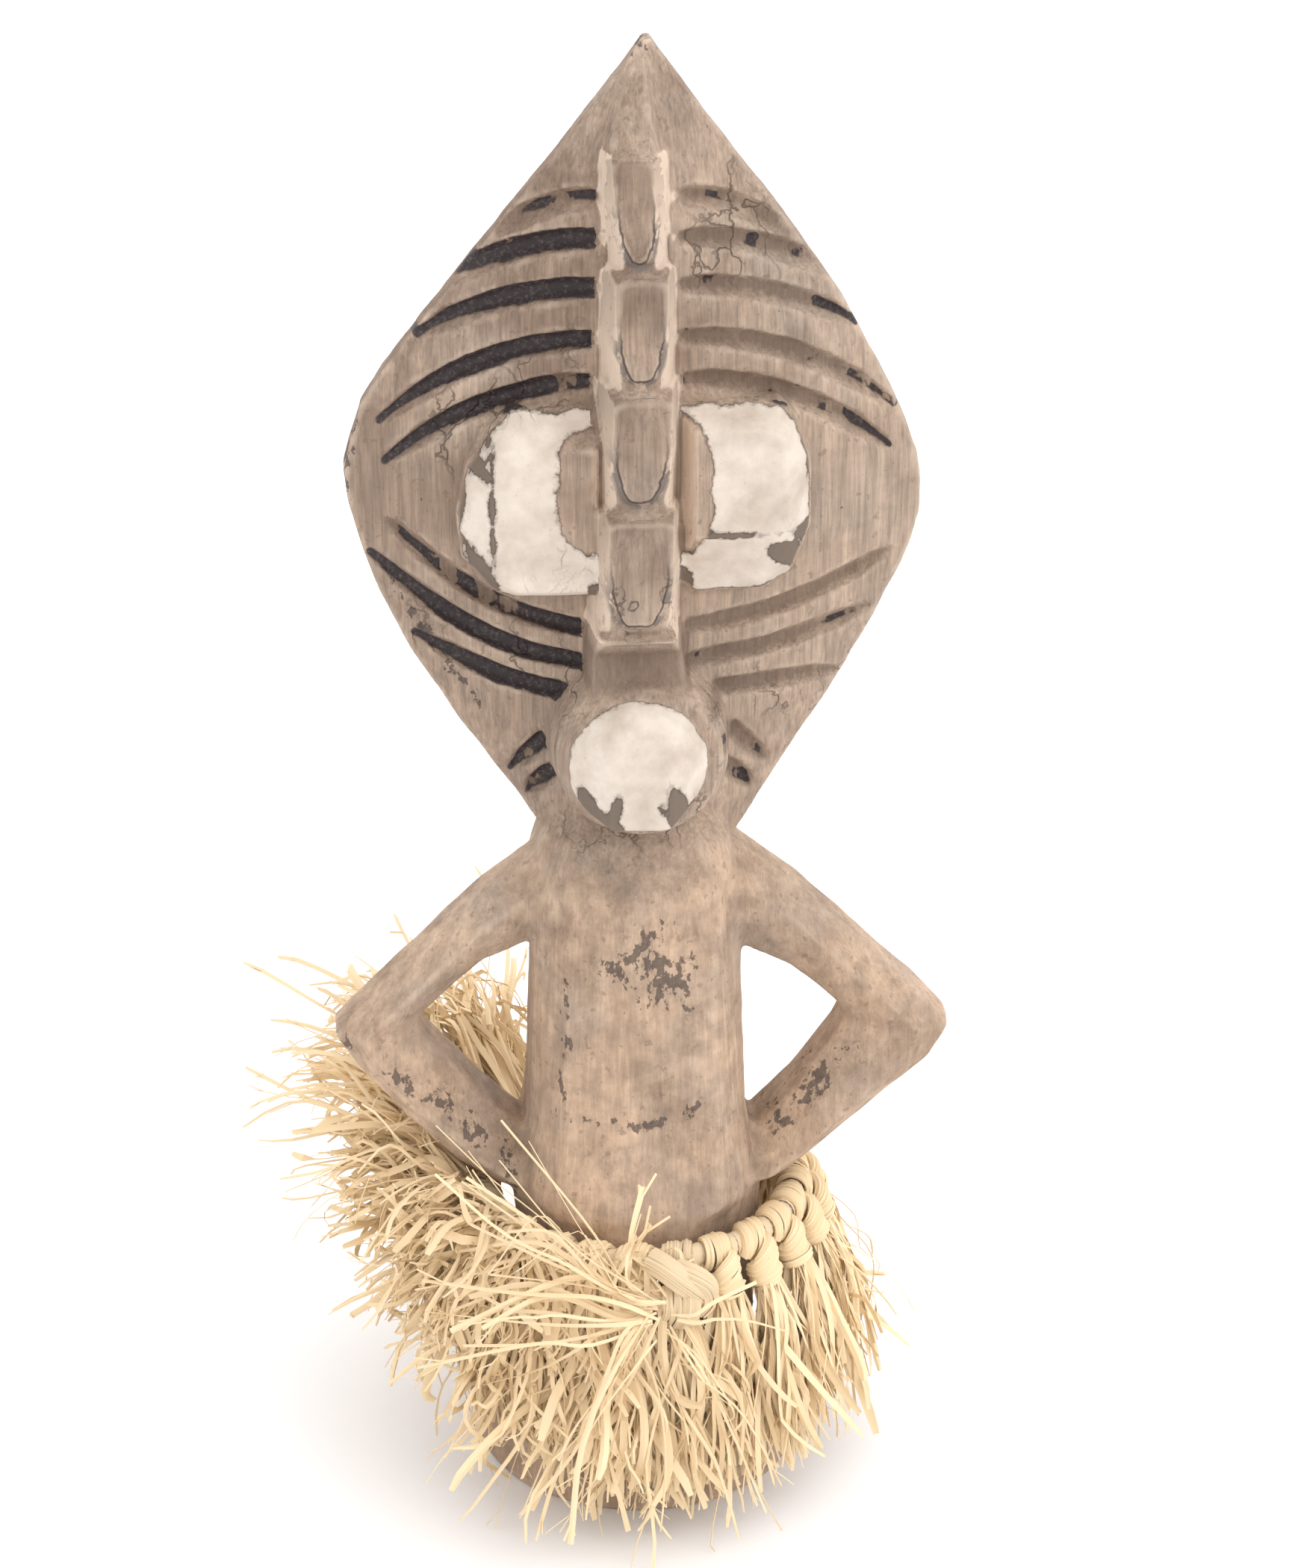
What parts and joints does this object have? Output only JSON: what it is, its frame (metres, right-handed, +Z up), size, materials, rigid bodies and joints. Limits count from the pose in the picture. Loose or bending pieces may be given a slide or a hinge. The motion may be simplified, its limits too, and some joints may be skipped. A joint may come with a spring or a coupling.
{
  "type": "carved ancestor figure",
  "caption": "Carved wooden standing figure with a large diamond-shaped face, hands on hips and a round base, wearing a raffia skirt hitched on a waist cord.",
  "frame": {"origin": "middle of the base's underside", "axes": "+Z up along the figure, -Y the way the face looks, +X the figure's left"},
  "size_m": [0.1739, 0.159, 0.38],
  "materials": {
    "carved_wood": "weathered, hewn, with remains of black and white paint",
    "waist_cord": "wrapped dry raffia, satin",
    "raffia": "dry split raffia, satin"
  },
  "bodies": {
    "figure": {"carved_figure": "carved_wood"},
    "skirt": {"waist_cord": "waist_cord", "tie_knot": "waist_cord", "tie_end_upper": "raffia", "tie_end_lower": "raffia", "tie_fall": "raffia", "tuft_01": "raffia", "tuft_02": "raffia", "tuft_03": "raffia", "tuft_04": "raffia", "tuft_05": "raffia", "tuft_06": "raffia", "tuft_07": "raffia", "tuft_08": "raffia", "tuft_09": "raffia", "tuft_10": "raffia", "tuft_11": "raffia", "tuft_12": "raffia", "tuft_13": "raffia", "tuft_14": "raffia", "tuft_15": "raffia", "tuft_16": "raffia", "tuft_17": "raffia", "tuft_18": "raffia", "tuft_19": "raffia", "tuft_20": "raffia", "tuft_21": "raffia", "tuft_22": "raffia", "tuft_23": "raffia"}
  },
  "joints": [
    {"name": "skirt_turn", "type": "hinge", "parent": "figure", "child": "skirt", "pos_m": [0, 0, 0.075], "axis": [0, 0, 1], "range_deg": [-12, 12]}
  ]
}
